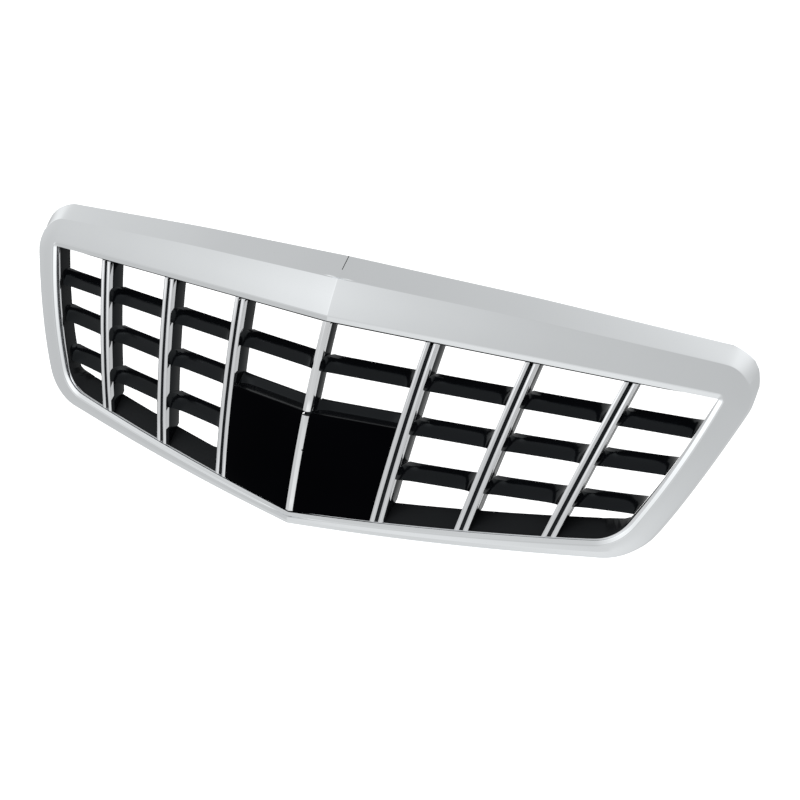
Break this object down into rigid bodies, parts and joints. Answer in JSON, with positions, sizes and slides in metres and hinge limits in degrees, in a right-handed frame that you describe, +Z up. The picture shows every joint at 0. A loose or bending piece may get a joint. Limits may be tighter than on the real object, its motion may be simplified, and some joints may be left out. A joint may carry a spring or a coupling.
{
  "type": "car front grille",
  "caption": "Wide front grille: bright angular surround, splayed double bars and black louvres around two smooth centre cover panels.",
  "frame": {"origin": "middle of the row of four upper mounting holes, in the plane of the tabs' upper seat", "axes": "+X across the car towards the viewer's right when facing the front, +Y back into the car, +Z up; the front faces -Y"},
  "size_m": [0.8762, 0.2044, 0.2789],
  "materials": {
    "bright_chrome": "bright",
    "strip_chrome": "bright",
    "satin_chrome": "satin",
    "black_plastic": "matte",
    "lattice_black": "satin",
    "piano_black": "gloss",
    "zinc_steel": "zinc plated",
    "foam_seal": "matte"
  },
  "bodies": {
    "root": {"chrome_surround": "bright_chrome", "inner_trim_ring": "satin_chrome", "centre_post": "lattice_black", "centre_trim_upper": "strip_chrome", "centre_trim_lower": "strip_chrome", "carrier_top_left": "black_plastic", "carrier_end_left": "black_plastic", "carrier_bottom_left": "black_plastic", "carrier_top_right": "black_plastic", "carrier_end_right": "black_plastic", "carrier_bottom_right": "black_plastic", "rib_left_1": "lattice_black", "rib_left_2": "lattice_black", "rib_left_3": "lattice_black", "rib_right_1": "lattice_black", "rib_right_2": "lattice_black", "rib_right_3": "lattice_black", "inner_strip_left_1": "strip_chrome", "outer_strip_left_1": "strip_chrome", "inner_strip_left_2": "strip_chrome", "outer_strip_left_2": "strip_chrome", "inner_strip_left_3": "strip_chrome", "outer_strip_left_3": "strip_chrome", "inner_strip_right_1": "strip_chrome", "outer_strip_right_1": "strip_chrome", "inner_strip_right_2": "strip_chrome", "outer_strip_right_2": "strip_chrome", "inner_strip_right_3": "strip_chrome", "outer_strip_right_3": "strip_chrome", "upper_louvre_left_1": "lattice_black", "upper_louvre_left_2": "lattice_black", "middle_louvre_left_2": "lattice_black", "lower_louvre_left_2": "lattice_black", "upper_louvre_left_3": "lattice_black", "middle_louvre_left_3": "lattice_black", "lower_louvre_left_3": "lattice_black", "upper_louvre_left_4": "lattice_black", "middle_louvre_left_4": "lattice_black", "lower_louvre_left_4": "lattice_black", "upper_louvre_right_1": "lattice_black", "upper_louvre_right_2": "lattice_black", "middle_louvre_right_2": "lattice_black", "lower_louvre_right_2": "lattice_black", "upper_louvre_right_3": "lattice_black", "middle_louvre_right_3": "lattice_black", "lower_louvre_right_3": "lattice_black", "upper_louvre_right_4": "lattice_black", "middle_louvre_right_4": "lattice_black", "lower_louvre_right_4": "lattice_black", "sensor_cover_left": "piano_black", "cover_ledge_left": "lattice_black", "lower_hook_left": "black_plastic", "sensor_cover_right": "piano_black", "cover_ledge_right": "lattice_black", "lower_hook_right": "black_plastic", "mounting_tabs": "black_plastic", "locating_pins": "black_plastic", "surround_studs": "zinc_steel", "stud_nuts": "zinc_steel", "upper_foam_seal": "foam_seal"}
  },
  "joints": []
}
